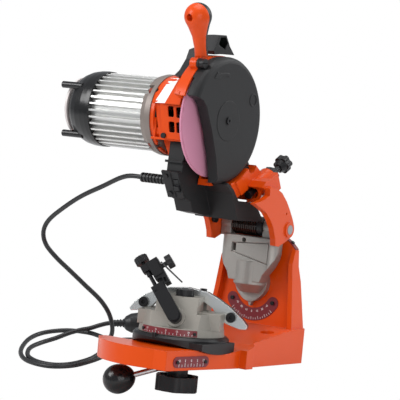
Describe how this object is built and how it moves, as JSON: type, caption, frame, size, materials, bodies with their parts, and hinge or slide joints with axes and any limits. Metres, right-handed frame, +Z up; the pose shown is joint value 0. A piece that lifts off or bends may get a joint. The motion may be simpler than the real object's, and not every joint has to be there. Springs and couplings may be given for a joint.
{
  "type": "bench chain grinder",
  "caption": "Bench grinder for saw chain: tilting motor head with a thin wheel and guard, a swivelling chain vise with an indexing stop, and a column base with angle scales.",
  "frame": {"origin": "centre of the bounding box at the surface that the grinder stands on, measured without its power cord and plug", "axes": "+X to the right of a person facing the vise, +Y to the rear, +Z up; the grinder stands as pictured, leaned back on its lock knob, with its own base plane pitched up 11.8 degrees at the front"},
  "size_m": [0.3978, 0.3229, 0.4809],
  "materials": {
    "abrasive": "matte",
    "black_metal": "satin",
    "black_plastic": "satin",
    "bolt_rust": "satin",
    "chrome": "polished",
    "copper_wound": "satin",
    "cord_rubber": "matte",
    "dark_steel": "satin",
    "disc_grey": "satin",
    "flange_taupe": "satin",
    "lens_green": "glossy",
    "orange_paint": "glossy",
    "polished_alu": "satin",
    "raw_cast": "matte",
    "red_blotter": "matte",
    "scale_maroon": "satin",
    "steel": "satin"
  },
  "bodies": {
    "base": {"base_casting": "orange_paint", "tilt_scales": "scale_maroon", "scale_plate_screws": "black_metal", "side_scale_plate": "scale_maroon", "tilt_bolt": "steel", "power_cord": "cord_rubber", "cord_plug": "cord_rubber"},
    "tilt_knob": {"tilt_lock_knob": "black_plastic"},
    "saddle": {"vise_saddle": "black_metal", "lock_stud": "steel", "clamp_washer": "steel"},
    "lock_knob": {"lock_knob": "black_plastic"},
    "lever": {"clamp_hub": "black_metal", "clamp_rod": "chrome", "ball_grip": "black_plastic"},
    "vise": {"vise_body": "polished_alu", "vise_scale": "scale_maroon", "vise_screws": "black_metal", "fixed_jaw": "polished_alu", "stop_pivot_bolt": "black_metal"},
    "jaw": {"moving_jaw": "dark_steel"},
    "top_knob": {"vise_top_knob": "black_plastic"},
    "stop": {"stop_arm": "black_metal"},
    "carrier": {"stop_carrier": "black_metal"},
    "thumbscrew": {"stop_thumbscrew": "black_metal"},
    "pawl_lock": {"pawl_knob": "black_plastic"},
    "pawl": {"pawl": "dark_steel"},
    "support": {"support_bracket": "raw_cast", "pivot_shaft": "steel", "spring_bushing": "black_plastic", "torsion_spring": "black_metal"},
    "arm": {"arm_casting": "orange_paint", "wheel_housing": "orange_paint", "wheel_guard": "black_plastic", "guard_knobs": "black_plastic", "head_screws": "black_metal", "handle_front": "orange_paint", "handle_rear": "black_plastic", "motor_flange": "flange_taupe", "motor_bolts": "bolt_rust", "motor_body": "polished_alu", "motor_end_cap": "black_plastic", "end_disc": "disc_grey", "stator": "copper_wound", "bearings": "steel", "switch_box": "black_plastic", "switch_cover": "black_plastic", "strain_relief": "cord_rubber", "shield_bracket": "black_plastic"},
    "rotor": {"grinding_wheel": "abrasive", "inner_flange": "steel", "outer_flange": "red_blotter", "wheel_nut": "steel", "rotor_shaft": "steel", "motor_fan": "black_plastic"},
    "stop_screw": {"stop_screw": "black_metal"},
    "lock_nut": {"stop_lock_nut": "black_metal"},
    "rocker": {"switch_rocker": "black_plastic"},
    "shield": {"eye_shield": "black_plastic", "shield_lens": "lens_green"}
  },
  "joints": [
    {"name": "head_tilt", "type": "hinge", "parent": "base", "child": "support", "pos_m": [0.06365, 0.10981, 0.09694], "axis": [0, 0.9789, -0.2045], "range_deg": [-30, 30]},
    {"name": "tilt_lock_turn", "type": "hinge", "parent": "base", "child": "tilt_knob", "pos_m": [0.06365, 0.14505, 0.08958], "axis": [0, 0.9789, -0.2045], "range_deg": [0, 360]},
    {"name": "arm_swing", "type": "hinge", "parent": "support", "child": "arm", "pos_m": [0.06365, 0.11942, 0.17717], "axis": [1, 0, 0], "range_deg": [0, 30], "stiffness_Nm_per_rad": 8, "springref_deg": -63.03, "deforming": ["power_cord"]},
    {"name": "wheel_spin", "type": "hinge", "parent": "arm", "child": "rotor", "pos_m": [0.06365, 0.02895, 0.33092], "axis": [1, 0, 0], "continuous": true},
    {"name": "stop_screw_turn", "type": "hinge", "parent": "arm", "child": "stop_screw", "pos_m": [0.08765, 0.0787, 0.23165], "axis": [0, 0.9563, 0.2924], "continuous": true},
    {"name": "stop_nut_turn", "type": "hinge", "parent": "arm", "child": "lock_nut", "pos_m": [0.08765, 0.12173, 0.2448], "axis": [0, 0.9563, 0.2924], "range_deg": [0, 360]},
    {"name": "power_switch", "type": "hinge", "parent": "arm", "child": "rocker", "pos_m": [0.04485, -0.02348, 0.25585], "axis": [1, 0, 0], "range_deg": [0, 16]},
    {"name": "shield_tilt", "type": "hinge", "parent": "arm", "child": "shield", "pos_m": [0.04165, 0.02732, 0.41605], "axis": [1, 0, 0], "range_deg": [0, 35]},
    {"name": "saddle_tilt", "type": "hinge", "parent": "base", "child": "saddle", "pos_m": [0.06365, -0.03116, 0.20454], "axis": [1, 0, 0], "range_deg": [-10, 10]},
    {"name": "lock_knob_turn", "type": "hinge", "parent": "saddle", "child": "lock_knob", "pos_m": [0.06865, -0.06961, 0.02051], "axis": [0, 0.2045, 0.9789], "range_deg": [0, 360]},
    {"name": "clamp_lever_swing", "type": "hinge", "parent": "saddle", "child": "lever", "pos_m": [0.06865, -0.06695, 0.03324], "axis": [0, 0.2045, 0.9789], "range_deg": [0, 45]},
    {"name": "vise_turn", "type": "hinge", "parent": "saddle", "child": "vise", "pos_m": [0.06865, -0.05632, 0.08414], "axis": [0, 0.2045, 0.9789], "range_deg": [-55, 15]},
    {"name": "jaw_slide", "type": "slide", "parent": "vise", "child": "jaw", "axis": [-0.342, 0.9198, -0.1922], "range_m": [0, 0.003]},
    {"name": "top_knob_turn", "type": "hinge", "parent": "vise", "child": "top_knob", "pos_m": [0.08019, -0.06425, 0.12972], "axis": [0, 0.2045, 0.9789], "range_deg": [0, 360]},
    {"name": "stop_swing", "type": "hinge", "parent": "vise", "child": "stop", "pos_m": [0.08549, -0.09544, 0.10886], "axis": [-0.3271, 0.8199, -0.47], "range_deg": [-20, 5]},
    {"name": "carrier_slide", "type": "slide", "parent": "stop", "child": "carrier", "axis": [-0.6526, 0.1637, 0.7398], "range_m": [0, 0.005]},
    {"name": "thumbscrew_turn", "type": "hinge", "parent": "carrier", "child": "thumbscrew", "pos_m": [0.03158, -0.08371, 0.16684], "axis": [-0.6526, 0.1637, 0.7398], "range_deg": [0, 1440]},
    {"name": "pawl_lock_turn", "type": "hinge", "parent": "carrier", "child": "pawl_lock", "pos_m": [0.0615, -0.0707, 0.16873], "axis": [0.6835, 0.5487, 0.4815], "range_deg": [0, 180]},
    {"name": "pawl_lift", "type": "hinge", "parent": "carrier", "child": "pawl", "pos_m": [0.05672, -0.07454, 0.16536], "axis": [0.4513, 0.5725, 0.6846], "range_deg": [0, 35]}
  ],
  "couplings": [
    {"joint": "jaw_slide", "follows": "clamp_lever_swing", "m_per_rad": 0.0038},
    {"joint": "thumbscrew_turn", "follows": "carrier_slide", "rad_per_m": 5026}
  ]
}
